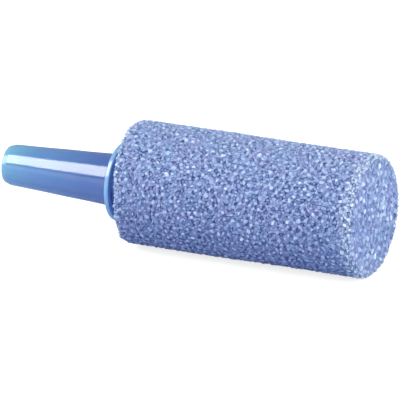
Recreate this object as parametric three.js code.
// Air stone for an aquarium or pond pump: a cylinder of bonded grit with a
// tapered inlet stem glued into one end. Millimetres, +Z up.
//
// The stone lies on its side along X, as it lies on a tank floor. The closed
// end faces +X and the hose stem points to -X. The origin is the bottom centre
// of the whole object's box: X = 0 is midway between the stem tip and the
// closed end, Y = 0 is on the stone's axis, and Z = 0 is the surface it lies on.

import * as THREE from 'three';

// ---------------------------------------------------------------- dimensions

const STONE_D = 12.0; // outside diameter of the grit cylinder
const STONE_L = 25.3; // end face to end face
const OPEN_EDGE = 0.35; // rounding of the stem end's outer edge
const OPEN_EDGE_STEPS = 4;
const CLOSED_EDGE = 0.65; // rounding of the closed end's outer edge
const CLOSED_EDGE_STEPS = 5;
const STONE_SEG = 36; // even, so that one facet faces straight down

const CHAMBER_D = 4.0; // blind air chamber, open at the stem end
const CHAMBER_DEPTH = 15.0; // to the start of its conical floor
const CHAMBER_CONE = 1.2; // depth of the conical floor left by the mould pin
const CHAMBER_LEAD = 0.3; // chamfer at the mouth of the chamber

const COLLAR_D = 7.7; // thin collar that stops the airline hose
const COLLAR_T = 0.5;
const COLLAR_EDGE = 0.08; // chamfer on both edges of the collar's rim
const COLLAR_STANDOFF = 1.15; // bed of adhesive between the collar and the stone

const STEM_L = 12.0; // collar's outer face to the tip
const STEM_BASE_D = 5.15; // where the line of the taper meets the collar
const STEM_LEAD_D = 4.0; // where the taper meets the lead-in
const STEM_LEAD_L = 0.6; // length of the lead-in at the tip
const STEM_TIP_D = 3.7; // at the outer end of the lead-in
const TIP_BREAK = 0.1; // rounding of the tip's rim, cut in two facets
const TIP_BREAK_MID = 0.3 * TIP_BREAK; // inset of the point between the facets
const STEM_FILLET = 0.45; // radius between the taper and the collar
const STEM_FILLET_STEPS = 5;
const STEM_DROP = 0.22; // the stem sits this far below the stone's axis
const STEM_SEG = 48; // also used for the adhesive

const AIRWAY_D = 1.8; // through bore of the stem
const SPIGOT_D = 3.0; // plug inside the chamber mouth
const SPIGOT_L = 6.0; // length of the plug inside the stone
const SPIGOT_LEAD = 0.3; // chamfer on the plug's end

const GLUE_GAP = 0.03; // left between each pair of neighbouring solids
const BEAD_COLLAR_D = 6.6; // adhesive bead where it meets the collar
const BEAD_WAIST_D = 6.0; // hollow of the bead, midway along it
const BEAD_FOOT_D = 6.8; // where the bead wets the stone
const SLEEVE_L = 0.75 * SPIGOT_L; // adhesive's reach into the chamber

// ------------------------------------------------------------- derived places

const STONE_R = STONE_D / 2;
const CHAMBER_R = CHAMBER_D / 2;
const COLLAR_R = COLLAR_D / 2;
const SPIGOT_R = SPIGOT_D / 2;
const AIRWAY_R = AIRWAY_D / 2;

const TOTAL_L = STONE_L + COLLAR_STANDOFF + COLLAR_T + STEM_L;
const X_CLOSED = TOTAL_L / 2; // closed end face
const X_OPEN = X_CLOSED - STONE_L; // end face on the stem side
const X_COLLAR_IN = X_OPEN - COLLAR_STANDOFF; // collar face towards the stone
const X_COLLAR_OUT = X_COLLAR_IN - COLLAR_T; // collar face towards the hose
const X_TIP = X_COLLAR_OUT - STEM_L;

const FACET_COS = Math.cos(Math.PI / STONE_SEG); // mid-facet over corner radius
const STONE_AXIS_Z = STONE_R * FACET_COS; // the bottom flat lies on Z = 0
const STEM_AXIS_Z = STONE_AXIS_Z - STEM_DROP;

const QUARTER_TURN = Math.PI / 2;

// ------------------------------------------------------------------ materials

const plain = ({ color, roughness }) =>
  new THREE.MeshStandardMaterial({ color, roughness, metalness: 0 });

const gritMaterial = () => plain({ color: 0x7f93c4, roughness: 0.95 });
const stemMaterial = () => plain({ color: 0x5f94d0, roughness: 0.22 });
const adhesiveMaterial = () => plain({ color: 0x9db8de, roughness: 0.35 });

// -------------------------------------------------------------------- helpers

// Turns a profile of [x, radius] points about the X axis. The profile either
// starts and ends on the axis or closes on itself.
function turned(profile, segments) {
  const points = profile.map(([x, radius]) => new THREE.Vector2(radius, x));
  // Starting half a facet round puts a flat, not a corner, at the bottom.
  const geometry = new THREE.LatheGeometry(points, segments, Math.PI / segments);
  // The lathe's axis is Y; lay it along X.
  geometry.rotateZ(-QUARTER_TURN);
  return geometry;
}

const closedLoop = (profile) => [...profile, profile[0]];

// Arc in the profile plane, as [x, radius] points. Angle 0 points to +X and a
// quarter turn points away from the axis.
function arc({ centre: [centreX, centreR], radius, from, to, steps }) {
  return Array.from({ length: steps + 1 }, (_, i) => {
    const angle = from + ((to - from) * i) / steps;
    return [centreX + radius * Math.cos(angle), centreR + radius * Math.sin(angle)];
  });
}

function piece({ name, geometry, material, axisZ }) {
  const mesh = new THREE.Mesh(geometry, material);
  mesh.name = name;
  mesh.position.z = axisZ;
  return mesh;
}

// --------------------------------------------------------------- grit cylinder

function stoneBody() {
  const chamberFloorX = X_OPEN + CHAMBER_DEPTH;
  const profile = [
    [chamberFloorX + CHAMBER_CONE, 0],
    [chamberFloorX, CHAMBER_R],
    [X_OPEN + CHAMBER_LEAD, CHAMBER_R],
    [X_OPEN, CHAMBER_R + CHAMBER_LEAD],
    ...arc({
      centre: [X_OPEN + OPEN_EDGE, STONE_R - OPEN_EDGE],
      radius: OPEN_EDGE,
      from: 2 * QUARTER_TURN,
      to: QUARTER_TURN,
      steps: OPEN_EDGE_STEPS,
    }),
    ...arc({
      centre: [X_CLOSED - CLOSED_EDGE, STONE_R - CLOSED_EDGE],
      radius: CLOSED_EDGE,
      from: QUARTER_TURN,
      to: 0,
      steps: CLOSED_EDGE_STEPS,
    }),
    [X_CLOSED, 0],
  ];
  return piece({
    name: 'stone_body',
    geometry: turned(profile, STONE_SEG),
    material: gritMaterial(),
    axisZ: STONE_AXIS_Z,
  });
}

// ---------------------------------------------------------------- moulded stem

// Fillet tangent to the straight taper and to the collar's outer face.
function stemFillet() {
  const slope = (STEM_BASE_D - STEM_LEAD_D) / 2 / (STEM_L - STEM_LEAD_L);
  const taperAngle = Math.atan(slope);
  const taperR = STEM_BASE_D / 2 - STEM_FILLET * slope; // taper below the arc's centre
  return arc({
    centre: [X_COLLAR_OUT - STEM_FILLET, taperR + STEM_FILLET / Math.cos(taperAngle)],
    radius: STEM_FILLET,
    from: taperAngle - QUARTER_TURN,
    to: 0,
    steps: STEM_FILLET_STEPS,
  });
}

function inletStem() {
  const tipR = STEM_TIP_D / 2;
  const spigotEndX = X_OPEN + SPIGOT_L;
  const profile = closedLoop([
    [X_TIP, AIRWAY_R],
    [X_TIP, tipR - TIP_BREAK],
    [X_TIP + TIP_BREAK_MID, tipR - TIP_BREAK_MID],
    [X_TIP + TIP_BREAK, tipR],
    [X_TIP + STEM_LEAD_L, STEM_LEAD_D / 2],
    ...stemFillet(),
    [X_COLLAR_OUT, COLLAR_R - COLLAR_EDGE],
    [X_COLLAR_OUT + COLLAR_EDGE, COLLAR_R],
    [X_COLLAR_IN - COLLAR_EDGE, COLLAR_R],
    [X_COLLAR_IN, COLLAR_R - COLLAR_EDGE],
    [X_COLLAR_IN, SPIGOT_R],
    [spigotEndX - SPIGOT_LEAD, SPIGOT_R],
    [spigotEndX, SPIGOT_R - SPIGOT_LEAD],
    [spigotEndX, AIRWAY_R],
  ]);
  return piece({
    name: 'inlet_stem',
    geometry: turned(profile, STEM_SEG),
    material: stemMaterial(),
    axisZ: STEM_AXIS_Z,
  });
}

// --------------------------------------------------------------- adhesive bond

// One cured ring: a waisted bead between collar and stone, and a thin sleeve
// round the spigot inside the chamber.
function adhesiveBond() {
  const sleeveInnerR = SPIGOT_R + GLUE_GAP;
  // Clears the flats of the chamber wall on the low side, where the dropped
  // spigot comes closest to it.
  const sleeveOuterR = CHAMBER_R * FACET_COS - GLUE_GAP - STEM_DROP;
  const sleeveEndX = X_OPEN + SLEEVE_L;

  const beadStartX = X_COLLAR_IN + GLUE_GAP;
  const beadEndX = X_OPEN - GLUE_GAP;
  const alongBead = (share) => beadStartX + share * (beadEndX - beadStartX);

  const profile = closedLoop([
    [beadStartX, sleeveInnerR],
    [beadStartX, BEAD_COLLAR_D / 2],
    [alongBead(0.25), (BEAD_COLLAR_D + BEAD_WAIST_D) / 4],
    [alongBead(0.5), BEAD_WAIST_D / 2],
    [alongBead(0.75), (BEAD_FOOT_D + BEAD_WAIST_D) / 4],
    [beadEndX, BEAD_FOOT_D / 2],
    [beadEndX, sleeveOuterR],
    [sleeveEndX, sleeveOuterR],
    [sleeveEndX, sleeveInnerR],
  ]);
  return piece({
    name: 'adhesive_bond',
    geometry: turned(profile, STEM_SEG),
    material: adhesiveMaterial(),
    axisZ: STEM_AXIS_Z,
  });
}

// ------------------------------------------------------------------- assembly

const airStone = new THREE.Group();
airStone.add(stoneBody(), inletStem(), adhesiveBond());

export default airStone;
